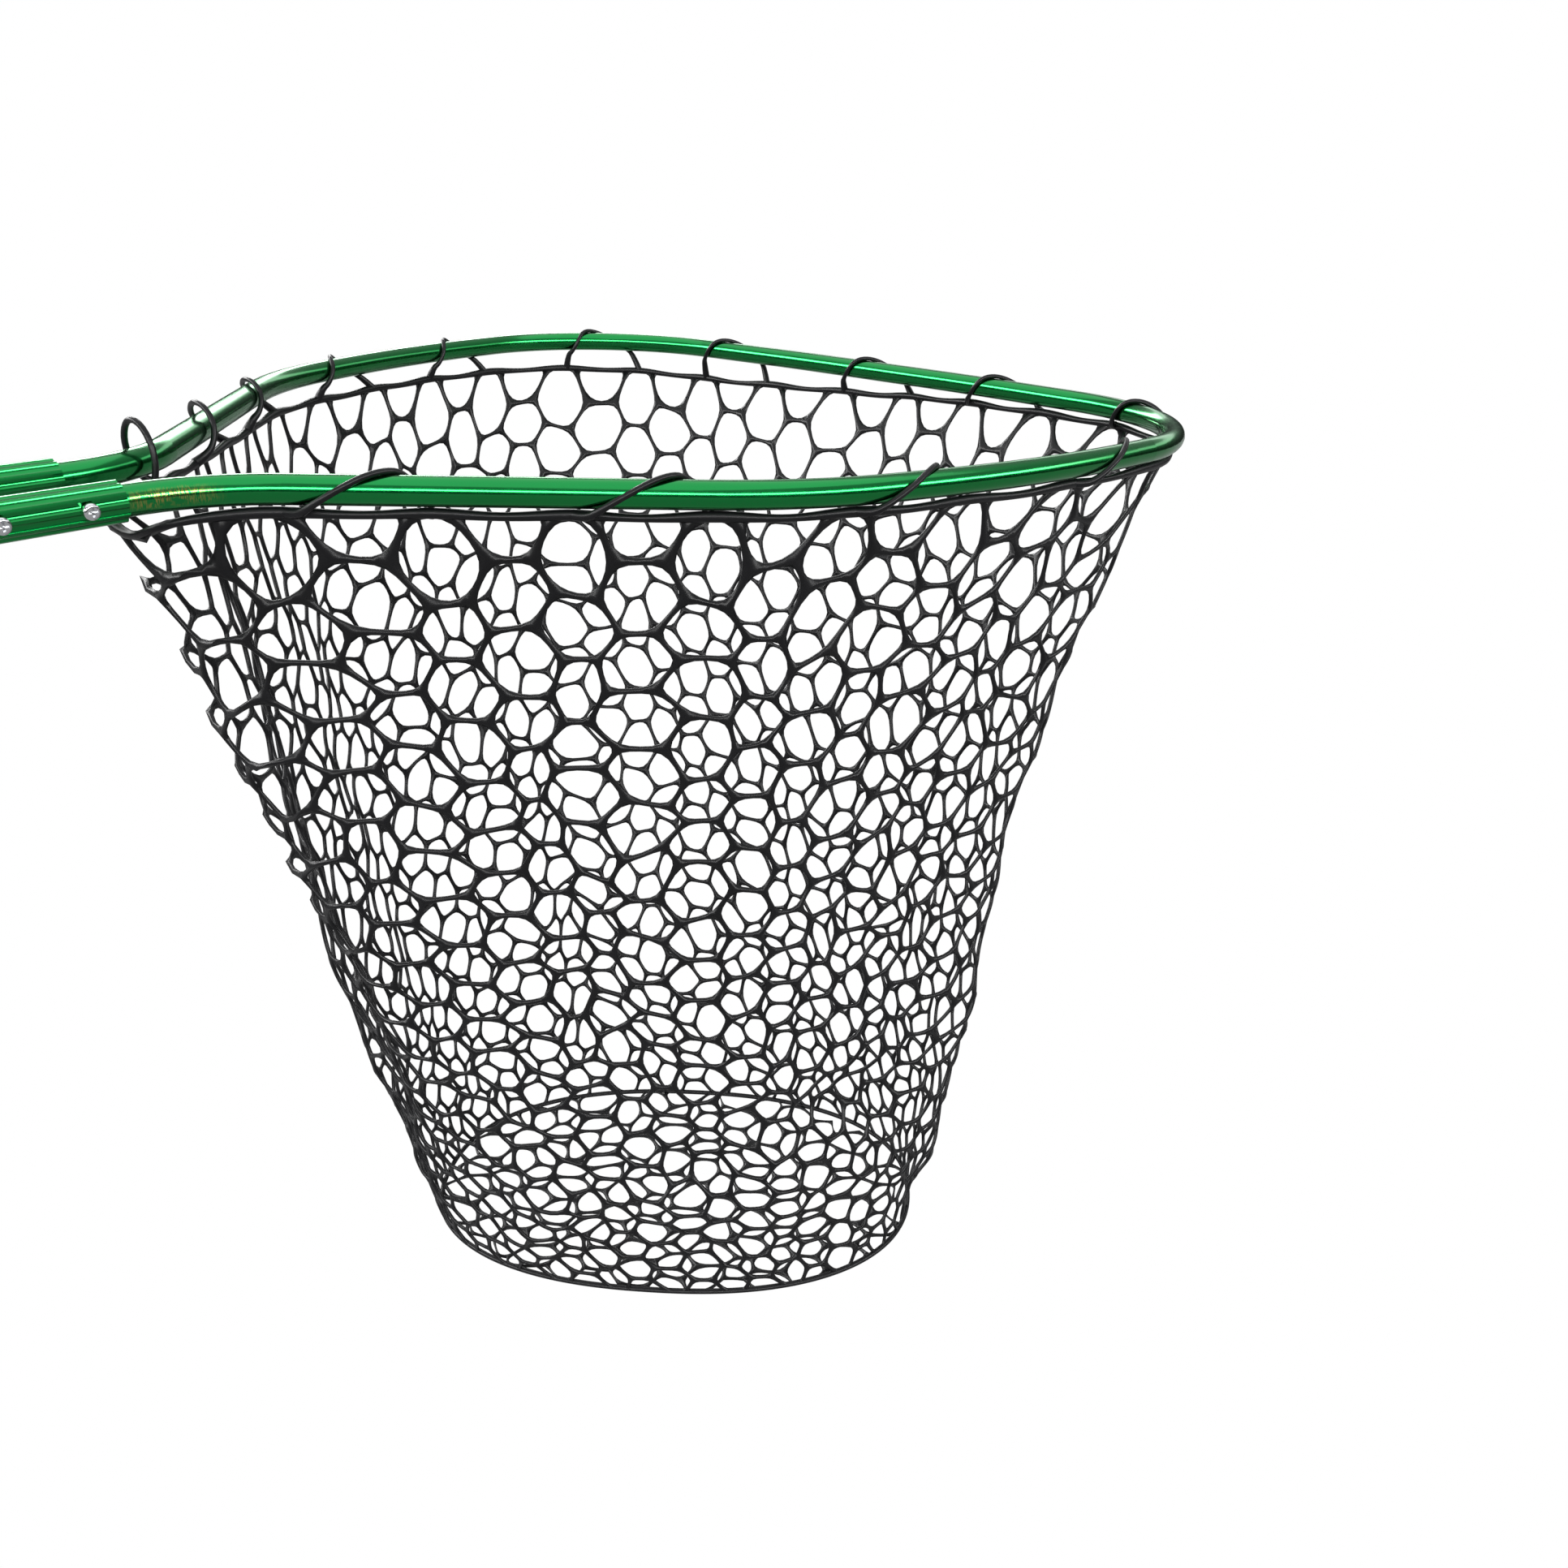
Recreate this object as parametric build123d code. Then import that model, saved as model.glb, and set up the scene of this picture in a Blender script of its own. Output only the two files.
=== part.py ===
"""Hoop landing net: a bent tube hoop in a twin-barrel yoke that slides along a tube handle.

A moulded rubber bag hangs from the hoop. Millimetres, +X from the grip to the hoop's front, +Z up.
The origin is at the middle of the grip, on the handle's axis.
"""
import os
from math import cos, pi, radians, sin, sqrt

from build123d import *

# Overall sizes
yoke_front_x = 576.0       # front ends of the yoke's barrels
hoop_length = 549.0        # from the yoke's front to the hoop's front, on the tube's centre line
hoop_half_width = 273.0    # half the width between the front corners, before they are rounded
bag_depth = 529.0          # from the hoop's centre line down to the middle of the bag's bottom panel

# Hoop tube
tube_od = 12.7
tube_wall = 1.25
tube_insert = 118.0        # length of each end inside its barrel
neck_corner_x = 33.0       # corners of the outline, from the yoke's front or the hoop's front
neck_radius = 76.0
shoulder_x = 204.0
shoulder_drop = 71.0       # how much narrower than the front corners
shoulder_radius = 200.0
side_setback = 214.0
side_drop = 23.0
side_radius = 560.0
corner_setback = 15.0
corner_radius = 112.0
front_half_flat = 75.0
front_radius = 1000.0

# Yoke
barrel_wall = 1.85         # outside the hoop tube, to the tops of the lands
barrel_gap = 5.32          # between the middle sleeve's bore and the hoop tube
barrel_length = 125.0
tube_clearance = 0.1
flute_count = 12
flute_radius = 2.7
flute_depth = 0.6
sleeve_setback = 42.0      # the middle sleeve starts this far behind the barrels' front ends
sleeve_wall = 2.2
web_height = 7.0

# Yoke screws
screw_setbacks = (14.6, 45.3)
screw_shank_r = 1.6
screw_head_r = 3.2
screw_head_height = 2.2
screw_head_round = 1.3
screw_reach = 8.0
recess_width = 0.9
recess_length = 3.5
recess_depth = 1.3

# Bushings between the yoke and the handle
bush_wall = 1.5
bush_length = 22.0
bush_flange = 1.5
bush_seat = 0.05
slide_clearance = 0.08

# Handle
handle_od = 25.4
handle_wall = 1.6
handle_front_gap = 4.0     # the handle's front end stands back from the sleeve's front flange
plug_length = 16.0
plug_wall = 2.0
plug_flange = 3.0
plug_round = 1.8
fit_clearance = 0.1

# Snap button
button_setback = 82.0      # from the yoke's front
button_r = 3.9
button_clearance = 0.1
button_stand = 1.2         # above the yoke's sleeve
button_dome = 1.5
button_flange_r = 5.5
button_flange = 1.4
button_flange_gap = 0.3    # under the handle's wall, when the button is out
spring_width = 8.0
spring_thickness = 0.6
spring_length = 46.0
spring_gap = 0.2

# Grip and end cap
grip_length = 150.0
grip_wall = 4.8            # the grip's outside stands this far off the handle
grip_bead = 12.0           # length of the raised bead at each end
grip_round = 3.0
groove_r = 1.2
ring_length = 9.0
ring_wall = 2.8
ring_chamfer = 2.0
cap_disc = 6.0
cap_disc_wall = 3.8        # the cap's disc stands this far off the handle
cap_disc_round = 3.0
cap_plug_wall = 3.0
cap_tab_length = 16.0
cap_tab_width = 18.0
cap_tab_thickness = 8.0
cap_tab_round = 8.1
cap_tab_sunk = 2.0         # the tab starts this far inside the disc
lanyard_r = 3.0
rivet_r = 2.0

# Bag
bag_wall = 3.0
rim_gap = 0.3              # between the loops and the rim under them
loop_cord_r = 1.3
loop_gap = 0.4
left_loop_setback = 46.0   # the first loop on the left arm, from the yoke's front along the tube
right_loop_setback = 91.0  # and on the right arm
# How far each loop has slid along the tube from even spacing, in spacings
loop_slips = (0, -0.27, -0.46, -0.52, -0.52, -0.39, -0.40, -0.30, -0.41, -0.44, -0.17, -0.02, 0.02, 0)
neck_rim_setback = 12.0    # the rim crosses between the two arms this far in front of the yoke
neck_dip_half = 20.0
neck_dip = 18.0            # the rim passes this far below the centre line, under the stowed handle
panel_half_length = 166.0
panel_half_width = 112.0
panel_turn = -57.0         # degrees, the way the loose bag hangs
panel_x = 278.0            # the panel's centre, from the yoke's front
panel_y = -56.0
panel_lean_x = 0.085       # the bag hangs this far off the hoop's normal, as slopes
panel_lean_y = 0.116
waist_share = 0.45         # the wall's middle section, as a share of the way down
waist_pull = 0.26          # how much faster than a straight taper the bag narrows
waist_drift = (-11.0, 14.0)  # the waist swings this far to the back and the left
outline_points = 28

tube_r = tube_od / 2
barrel_r = tube_r + barrel_wall
handle_r = handle_od / 2
sleeve_bore_r = handle_r + slide_clearance + bush_wall + bush_seat
barrel_y = sleeve_bore_r + barrel_gap + tube_r
sleeve_r = sleeve_bore_r + sleeve_wall
sleeve_front_x = yoke_front_x - sleeve_setback
sleeve_back_x = yoke_front_x - barrel_length
handle_front_x = sleeve_front_x - handle_front_gap
handle_back_x = -grip_length / 2
button_x = yoke_front_x - button_setback
handle_bore_r = handle_r - handle_wall
grip_r = handle_r + grip_wall
overshoot = 1.0            # cutters run past the faces they cut by this much
flange_top = sqrt(handle_bore_r**2 - button_flange_r**2) - button_flange_gap
along_x = Plane(origin=(0, 0, 0), x_dir=(0, 1, 0), z_dir=(1, 0, 0))


def tube_along_x(outer_r, inner_r, start, end):
    """A plain round tube, or a rod when inner_r is 0, from x = start to x = end."""
    section = Circle(outer_r) - Circle(inner_r) if inner_r else Circle(outer_r)
    return extrude(along_x.offset(start) * section, end - start)


def cross_hole(radius, x, y, length):
    """A cutter along Y, centred on (x, y)."""
    return Pos(x, y, 0) * Rot(90, 0, 0) * Cylinder(radius, length)


def hoop_path():
    """The hoop's centre line: tangent runs and arcs, from one barrel round to the other."""
    half = [
        (yoke_front_x - tube_insert, barrel_y),
        (yoke_front_x + neck_corner_x, barrel_y),
        (yoke_front_x + shoulder_x, hoop_half_width - shoulder_drop),
        (yoke_front_x + hoop_length - side_setback, hoop_half_width - side_drop),
        (yoke_front_x + hoop_length - corner_setback, hoop_half_width),
        (yoke_front_x + hoop_length, front_half_flat),
    ]
    radii = [neck_radius, shoulder_radius, side_radius, corner_radius, front_radius]
    mirrored = [(x, -y) for x, y in reversed(half)]
    return FilletPolyline(*half, *mirrored, radius=radii + radii[::-1])


def screw_places():
    """Each yoke screw's x and the side it is driven from."""
    return [(yoke_front_x - back, side) for side in (-1, 1) for back in screw_setbacks]


def make_hoop_tube(path):
    start = Plane(origin=path @ 0, z_dir=path % 0)
    tube = sweep(start * (Circle(tube_r) - Circle(tube_r - tube_wall)), path=path)
    for x, side in screw_places():
        tube -= cross_hole(screw_shank_r + fit_clearance, x, side * (barrel_y + tube_r), tube_od)
    return tube


def fluted_barrel():
    """Section of one barrel: narrow lands between shallow round flutes."""
    section = Circle(barrel_r)
    reach = barrel_r - flute_depth + flute_radius
    for k in range(flute_count):
        turn = 2 * pi * (k + 0.5) / flute_count
        section -= Pos(reach * cos(turn), reach * sin(turn)) * Circle(flute_radius)
    return section


def make_yoke():
    bore = Circle(tube_r + tube_clearance)
    barrels = [Pos(side * barrel_y, 0) * fluted_barrel() for side in (-1, 1)]
    bores = [Pos(side * barrel_y, 0) * bore for side in (-1, 1)]
    yoke = extrude(along_x.offset(sleeve_back_x) * (barrels[0] + barrels[1]), barrel_length)
    middle = Rectangle(2 * barrel_y, web_height) + Circle(sleeve_r)
    yoke += extrude(along_x.offset(sleeve_back_x) * middle, sleeve_front_x - sleeve_back_x)
    for cut in bores:
        yoke -= extrude(along_x.offset(sleeve_back_x - overshoot) * cut, barrel_length + 2 * overshoot)
    yoke -= tube_along_x(sleeve_bore_r, 0, sleeve_back_x - overshoot, sleeve_front_x + overshoot)
    for x, side in screw_places():
        yoke -= cross_hole(screw_shank_r + fit_clearance, x, side * (barrel_y + barrel_r), 2 * barrel_r)
    yoke -= Pos(button_x, 0, sleeve_r) * Cylinder(button_r + button_clearance, sleeve_r)
    return yoke


def make_yoke_screw():
    """A pan-head cross-recess screw, head up along +Z, seated on z = 0."""
    head = Cylinder(screw_head_r, screw_head_height, align=(Align.CENTER, Align.CENTER, Align.MIN))
    head = fillet(head.edges().group_by(Axis.Z)[-1], screw_head_round)
    shank = Cylinder(screw_shank_r, screw_reach, align=(Align.CENTER, Align.CENTER, Align.MAX))
    slots = Box(recess_length, recess_width, recess_depth * 2)
    slots += Box(recess_width, recess_length, recess_depth * 2)
    return head + shank - Pos(0, 0, screw_head_height) * slots


def make_yoke_screws():
    screws = []
    for x, side in screw_places():
        seat = Plane(origin=(x, side * barrel_y + side * barrel_r, 0), z_dir=(0, side, 0))
        screws.append(seat * make_yoke_screw())
    return Compound(children=screws)


def make_barrel_plugs():
    """Caps in the barrels' back ends, behind the hoop tube's ends."""
    plugs = []
    for side in (-1, 1):
        stem = tube_along_x(tube_r, 0, sleeve_back_x, yoke_front_x - tube_insert - fit_clearance)
        cap = tube_along_x(barrel_r, 0, sleeve_back_x - bush_flange, sleeve_back_x)
        cap = chamfer(cap.edges().group_by(Axis.X)[0], bush_flange / 2)
        plugs.append(Pos(0, side * barrel_y, 0) * (stem + cap))
    return Compound(children=plugs)


def make_bushing(mouth_x, inward):
    """A flanged plain bearing at one mouth of the sleeve; inward is +1 or -1 along X."""
    inner = handle_r + slide_clearance
    body = tube_along_x(inner + bush_wall, inner, 0, bush_length)
    flange = tube_along_x(sleeve_r, inner, -bush_flange, 0)
    bushing = body + flange
    if inward < 0:
        bushing = mirror(bushing, Plane.YZ)
    return Pos(mouth_x, 0, 0) * bushing


def make_handle_tube():
    tube = tube_along_x(handle_r, handle_bore_r, handle_back_x, handle_front_x)
    tube -= Pos(button_x, 0, handle_r) * Cylinder(button_r + button_clearance, handle_r)
    tube -= Pos(cap_rivet_x(), 0, 0) * Cylinder(rivet_r + fit_clearance, handle_od + overshoot)
    return tube


def make_handle_front_plug():
    inner = handle_bore_r - fit_clearance
    stem = tube_along_x(inner, inner - plug_wall, handle_front_x - plug_length, handle_front_x)
    lid = tube_along_x(handle_r, 0, handle_front_x, handle_front_x + plug_flange)
    lid = fillet(lid.edges().group_by(Axis.X)[-1], plug_round)
    return stem + lid


def make_snap_button():
    """A domed button with a flange that stops it inside the handle."""
    stem_height = sleeve_r + button_stand - flange_top
    lift = (Align.CENTER, Align.CENTER, Align.MIN)
    stem = Cylinder(button_r, stem_height, align=lift)
    stem = fillet(stem.edges().group_by(Axis.Z)[-1], button_dome)
    flange = Pos(0, 0, -button_flange) * Cylinder(button_flange_r, button_flange, align=lift)
    return Pos(button_x, 0, flange_top) * (stem + flange)


def make_button_spring():
    """A V of spring strip: one leg under the button, the other on the handle's floor."""
    top = flange_top - button_flange
    floor = -sqrt(handle_bore_r**2 - (spring_width / 2)**2) + spring_gap
    front_x = button_x + button_flange_r
    bend_x = button_x - button_flange_r
    fold = (button_x - spring_length, (top + floor) / 2)
    upper = Polyline((front_x, top), (bend_x, top), fold)
    lower = Polyline(fold, (bend_x, floor), (front_x, floor))
    strip = Wire(upper.edges() + lower.edges())
    outline = make_face(offset(strip, spring_thickness, side=Side.LEFT, kind=Kind.INTERSECTION))
    side_on = Plane(origin=(0, 0, 0), x_dir=(1, 0, 0), z_dir=(0, -1, 0))
    return extrude(side_on.offset(-spring_width / 2) * outline, spring_width)


def make_grip():
    """A moulded sleeve with a raised bead at each end and a groove behind each bead."""
    half = grip_length / 2
    grip = tube_along_x(grip_r, handle_r + fit_clearance, -half, half)
    for end in (-1, 1):
        centre = end * (half - grip_bead)
        grip -= Pos(centre, 0, 0) * Rot(0, 90, 0) * Torus(grip_r, groove_r)
    rounds = grip.edges().filter_by(GeomType.CIRCLE)
    outer = rounds.filter_by(lambda e: e.radius > grip_r - fit_clearance).group_by(Axis.X)
    return fillet(outer[0] + outer[-1], grip_round)


def make_grip_ring():
    """A stop ring on the handle, in front of the grip."""
    front = grip_length / 2 + ring_length
    ring_r = handle_r + ring_wall
    ring = tube_along_x(ring_r, handle_r + fit_clearance, grip_length / 2, front)
    front_edges = ring.edges().group_by(Axis.X)[-1]
    return chamfer(front_edges.filter_by(lambda e: e.radius > ring_r - fit_clearance), ring_chamfer)


def cap_rivet_x():
    return handle_back_x + plug_length / 2


def make_end_cap():
    """A plug and disc that close the handle's butt, with a holed tab for a lanyard."""
    inner = handle_bore_r - fit_clearance
    plug = tube_along_x(inner, inner - cap_plug_wall, handle_back_x, handle_back_x + plug_length)
    disc = tube_along_x(handle_r + cap_disc_wall, 0, handle_back_x - cap_disc, handle_back_x)
    disc = fillet(disc.edges().group_by(Axis.X)[0], cap_disc_round)
    tab_end = handle_back_x - cap_disc - cap_tab_length
    behind = (Align.MIN, Align.CENTER, Align.CENTER)
    tab = Box(cap_tab_length + cap_tab_sunk, cap_tab_thickness, cap_tab_width, align=behind)
    tab = fillet(tab.edges().filter_by(Axis.Y).group_by(Axis.X)[0], cap_tab_round)
    cap = plug + disc + Pos(tab_end, 0, 0) * tab
    cap -= cross_hole(lanyard_r, tab_end + cap_tab_width / 2, 0, cap_tab_thickness + 2 * overshoot)
    cap -= Pos(cap_rivet_x(), 0, 0) * Cylinder(rivet_r + fit_clearance, handle_od)
    return cap


def make_cap_rivet():
    """A rivet across the handle that holds the end cap's plug; the grip covers its heads."""
    return Pos(cap_rivet_x(), 0, 0) * Cylinder(rivet_r, 2 * handle_bore_r)


def rim_points(path):
    """Points round the bag's mouth, under the hoop tube."""
    start = tube_insert + neck_rim_setback
    step = (path.length - 2 * start) / (outline_points - 1)
    drop = Vector(0, 0, tube_r + loop_gap + 2 * loop_cord_r + rim_gap)
    places = [start + step * k for k in range(outline_points)]
    return [path.position_at(run, position_mode=PositionMode.LENGTH) - drop for run in places]


def panel_points():
    """Points round the bag's bottom panel: an oval, square to the way the bag hangs."""
    hang = Vector(-panel_lean_x, -panel_lean_y, -1)
    centre = Vector(yoke_front_x + panel_x, panel_y, -bag_depth)
    panel = Plane(origin=centre, x_dir=Vector(1, 0, -panel_lean_x), z_dir=-hang)
    turn = radians(panel_turn)
    points = []
    for k in range(outline_points):
        angle = pi - 2 * pi * (k + 0.5) / outline_points - turn
        along = panel_half_length * cos(angle)
        across = panel_half_width * sin(angle)
        points.append(panel.from_local_coords(
            (along * cos(turn) - across * sin(turn), along * sin(turn) + across * cos(turn))))
    return points


def bag_shape(path, inset, lift):
    """The space inside an outline of the bag, moved in by inset and raised by lift."""
    rim = rim_points(path)
    panel = panel_points()
    pull = waist_share + waist_pull * waist_share * (1 - waist_share)
    waist = [
        Vector(
            a.X + (b.X - a.X) * pull + waist_drift[0],
            a.Y + (b.Y - a.Y) * pull + waist_drift[1],
            a.Z + (b.Z - a.Z) * waist_share)
        for a, b in zip(rim, panel)]
    sections = []
    for outline, rise in ((rim, 0), (waist, 0), (panel, lift)):
        centre = sum(outline, Vector(0, 0, 0)) / outline_points
        inner = [p - (p - centre).normalized() * inset + Vector(0, 0, rise) for p in outline]
        sections.append(Wire([Spline(*inner, periodic=True)]))
    return Solid.make_loft(sections, ruled=True)


def make_net_bag(path):
    """An open-topped tapered bag; the mesh is drawn as one thin closed wall."""
    bag = bag_shape(path, 0, 0) - bag_shape(path, bag_wall, bag_wall)
    dip_x = yoke_front_x + neck_rim_setback
    return bag - Pos(dip_x, 0, 0) * Box(4 * barrel_y, 2 * neck_dip_half, 2 * neck_dip)


def make_net_loops(path):
    """The bag's integral loops, each drawn as a ring round the hoop tube."""
    first = tube_insert + left_loop_setback
    last = path.length - tube_insert - right_loop_setback
    spacing = (last - first) / (len(loop_slips) - 1)
    loops = []
    for k, slip in enumerate(loop_slips):
        run = first + spacing * (k + slip)
        at = path.position_at(run, position_mode=PositionMode.LENGTH)
        way = path.tangent_at(run, position_mode=PositionMode.LENGTH)
        loops.append(Plane(origin=at, z_dir=way) * Torus(tube_r + loop_gap + loop_cord_r, loop_cord_r))
    return Compound(children=loops)


def build():
    path = hoop_path()
    nodes = {
        "hoop_tube": make_hoop_tube(path),
        "yoke": make_yoke(),
        "yoke_screws": make_yoke_screws(),
        "barrel_plugs": make_barrel_plugs(),
        "front_bushing": make_bushing(sleeve_front_x, -1),
        "rear_bushing": make_bushing(sleeve_back_x, 1),
        "handle_tube": make_handle_tube(),
        "handle_front_plug": make_handle_front_plug(),
        "snap_button": make_snap_button(),
        "button_spring": make_button_spring(),
        "grip": make_grip(),
        "grip_ring": make_grip_ring(),
        "end_cap": make_end_cap(),
        "cap_rivet": make_cap_rivet(),
        "net_bag": make_net_bag(path),
        "net_loops": make_net_loops(path),
    }
    os.makedirs("parts", exist_ok=True)
    for name, shape in nodes.items():
        export_step(shape, f"parts/{name}.step")


build()
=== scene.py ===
from math import cos, pi, radians, sin, sqrt, tan

import bpy
import numpy as np
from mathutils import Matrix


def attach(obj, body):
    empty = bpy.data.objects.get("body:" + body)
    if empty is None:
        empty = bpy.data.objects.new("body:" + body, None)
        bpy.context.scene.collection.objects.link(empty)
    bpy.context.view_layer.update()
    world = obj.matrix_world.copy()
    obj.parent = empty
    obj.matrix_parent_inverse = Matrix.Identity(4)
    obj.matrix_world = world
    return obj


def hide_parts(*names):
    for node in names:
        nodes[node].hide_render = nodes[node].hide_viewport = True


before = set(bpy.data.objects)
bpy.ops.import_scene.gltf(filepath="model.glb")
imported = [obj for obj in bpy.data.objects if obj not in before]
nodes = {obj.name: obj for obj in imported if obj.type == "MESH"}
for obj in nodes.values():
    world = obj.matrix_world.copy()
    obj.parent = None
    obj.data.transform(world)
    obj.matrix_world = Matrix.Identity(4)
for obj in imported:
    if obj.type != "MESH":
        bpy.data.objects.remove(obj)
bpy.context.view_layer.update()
bpy.ops.object.select_all(action="DESELECT")

# Hoop. Half-inch aluminium tube, bent cold to a pear outline, polished lightly and dyed
# green in the anodising bath. The first bend past the yoke has crazed on the near arm,
# where the film cracked in the bender and shows fine straw-coloured streaks.
yoke_front_x = 0.576
tube_r = 0.00635
dye_deep = (0.0006, 0.21, 0.036, 1)
dye_pale = (0.0012, 0.26, 0.052, 1)
film_weight = 0.42
film_roughness = 0.08
drawn_roughness = 0.16
craze_straw = (0.34, 0.31, 0.07, 1)
noise_low = 0.3
noise_high = 0.7


def new_finish(name, colour, roughness, metallic=0.0):
    """A material with one Principled shader, its node tree and that shader."""
    finish = bpy.data.materials.new(name)
    finish.use_nodes = True
    tree = finish.node_tree
    shader = tree.nodes["Principled BSDF"]
    shader.inputs["Base Color"].default_value = (*colour, 1)
    shader.inputs["Roughness"].default_value = roughness
    shader.inputs["Metallic"].default_value = metallic
    return finish, tree, shader


def add_noise(tree, scale, stretch=(1, 1, 1), detail=4.0):
    """Noise on Object coordinates, stretched along the axes; returns its value socket."""
    place = tree.nodes.new("ShaderNodeTexCoord")
    turn = tree.nodes.new("ShaderNodeMapping")
    turn.inputs["Scale"].default_value = stretch
    noise = tree.nodes.new("ShaderNodeTexNoise")
    noise.inputs["Scale"].default_value = scale
    noise.inputs["Detail"].default_value = detail
    tree.links.new(place.outputs["Object"], turn.inputs["Vector"])
    tree.links.new(turn.outputs["Vector"], noise.inputs["Vector"])
    return noise.outputs["Fac"]


def add_range(tree, value, low, high, to_low=0.0, to_high=1.0):
    """Maps low..high of a socket to to_low..to_high, held at the ends."""
    node = tree.nodes.new("ShaderNodeMapRange")
    node.inputs["From Min"].default_value = low
    node.inputs["From Max"].default_value = high
    node.inputs["To Min"].default_value = to_low
    node.inputs["To Max"].default_value = to_high
    tree.links.new(value, node.inputs["Value"])
    return node.outputs["Result"]


def add_product(tree, first, second):
    """Two sockets multiplied."""
    node = tree.nodes.new("ShaderNodeMath")
    node.operation = "MULTIPLY"
    tree.links.new(first, node.inputs[0])
    tree.links.new(second, node.inputs[1])
    return node.outputs[0]


def add_colours(tree, share, low, high):
    """A mix of two colours by a socket."""
    node = tree.nodes.new("ShaderNodeMix")
    node.data_type = "RGBA"
    node.inputs["A"].default_value = low
    node.inputs["B"].default_value = high
    tree.links.new(share, node.inputs["Factor"])
    return node.outputs["Result"]


def add_bump(tree, shader, height, strength, distance):
    """Raises the surface of a shader by a height socket, to a distance in metres."""
    node = tree.nodes.new("ShaderNodeBump")
    node.inputs["Strength"].default_value = strength
    node.inputs["Distance"].default_value = distance
    tree.links.new(height, node.inputs["Height"])
    tree.links.new(node.outputs["Normal"], shader.inputs["Normal"])


def add_polish(tree, shader, noise, smoothest, roughest):
    """Varies the roughness of a shader with a noise."""
    polish = add_range(tree, noise, noise_low, noise_high, smoothest, roughest)
    tree.links.new(polish, shader.inputs["Roughness"])


def add_axes(tree):
    """Object coordinates as three sockets."""
    place = tree.nodes.new("ShaderNodeTexCoord")
    split = tree.nodes.new("ShaderNodeSeparateXYZ")
    tree.links.new(place.outputs["Object"], split.inputs["Vector"])
    return split.outputs["X"], split.outputs["Y"], split.outputs["Z"]


def anodised(name, grain):
    """Green dyed anodised aluminium under its clear film, with a drawn grain along X."""
    finish, tree, shader = new_finish(name, dye_deep[:3], drawn_roughness, metallic=1.0)
    shader.inputs["Coat Weight"].default_value = film_weight
    shader.inputs["Coat Roughness"].default_value = film_roughness
    drawn = add_noise(tree, scale=260, stretch=(0.05, 1, 1), detail=2.0)
    cloud = add_noise(tree, scale=9, detail=2.0)
    shade = add_colours(tree, cloud, dye_deep, dye_pale)
    tree.links.new(shade, shader.inputs["Base Color"])
    add_polish(tree, shader, drawn, drawn_roughness, drawn_roughness + grain)
    return finish, tree, shader, shade


def finish_nodes(finish, *names):
    """Gives CAD pieces their finish."""
    for name in names:
        for slot in nodes[name].material_slots:
            slot.material = finish


hoop_green, tree, shader, shade = anodised("hoop_green", grain=0.04)
x, y, z = add_axes(tree)
ragged = add_noise(tree, scale=160, stretch=(1, 1, 1.6), detail=5.0)
fine = add_noise(tree, scale=2600, stretch=(1, 0.3, 0.12), detail=3.0)
# What bounds the crazed patch: a socket, where the crazing begins and where it is full
craze_fades = (
    (x, 0.575, 0.582),
    (x, 0.611, 0.597),
    (y, -0.024, -0.030),
    (z, 0.0045, 0.0020),
    (z, -0.0040, -0.0010),
    (ragged, 0.36, 0.50),
    (fine, 0.46, 0.56),
)
crazed = add_range(tree, *craze_fades[0])
for fade in craze_fades[1:]:
    crazed = add_product(tree, crazed, add_range(tree, *fade))
streaked = add_colours(tree, crazed, dye_deep, craze_straw)
tree.links.new(shade, streaked.node.inputs["A"])
tree.links.new(streaked, shader.inputs["Base Color"])
add_bump(tree, shader, crazed, strength=0.25, distance=0.00008)
finish_nodes(hoop_green, "hoop_tube")

# Yoke and handle. The yoke is extruded aluminium with die lines along its length, sawn,
# drilled and dyed in the same bath as the hoop; the handle is a larger tube of that finish.
yoke_green = anodised("yoke_green", grain=0.09)[0]
finish_nodes(yoke_green, "yoke", "handle_tube")

# Yoke screws and the cap's rivet. Cross-recess pan heads, cold headed and bright plated;
# the plating is mirror smooth apart from a faint ripple.
plating = (0.62, 0.63, 0.65)
chrome, tree, shader = new_finish("screw_steel", plating, roughness=0.14, metallic=1.0)
wear = add_noise(tree, scale=700, detail=3.0)
add_polish(tree, shader, wear, smoothest=0.08, roughest=0.26)
add_bump(tree, shader, wear, strength=0.12, distance=0.0001)
finish_nodes(chrome, "yoke_screws", "cap_rivet")

# Snap button and its spring strip. The button is turned, the strip bent from sheet, and
# both are tumbled stainless steel, a little duller than the screws.
bare_steel = (0.52, 0.52, 0.51)
steel, tree, shader = new_finish("button_steel", bare_steel, roughness=0.32, metallic=1.0)
tumbled = add_noise(tree, scale=1100, detail=2.0)
add_polish(tree, shader, tumbled, smoothest=0.24, roughest=0.42)
finish_nodes(steel, "snap_button", "button_spring")

# Bushings, plugs, grip ring and end cap. Injection moulded from glass-filled nylon, with
# a fine spark-eroded texture from the mould, and pressed into or on to the tubes.
nylon_deep = (0.014, 0.014, 0.015, 1)
nylon_pale = (0.024, 0.024, 0.025, 1)
nylon, tree, shader = new_finish("black_plastic", nylon_deep[:3], roughness=0.48)
texture = add_noise(tree, scale=1600, detail=3.0)
cloud = add_noise(tree, scale=30, detail=2.0)
shade = add_colours(tree, cloud, nylon_deep, nylon_pale)
tree.links.new(shade, shader.inputs["Base Color"])
add_bump(tree, shader, texture, strength=0.35, distance=0.00012)
finish_nodes(nylon, "barrel_plugs", "front_bushing", "rear_bushing")
finish_nodes(nylon, "handle_front_plug", "grip_ring", "end_cap")

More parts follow.
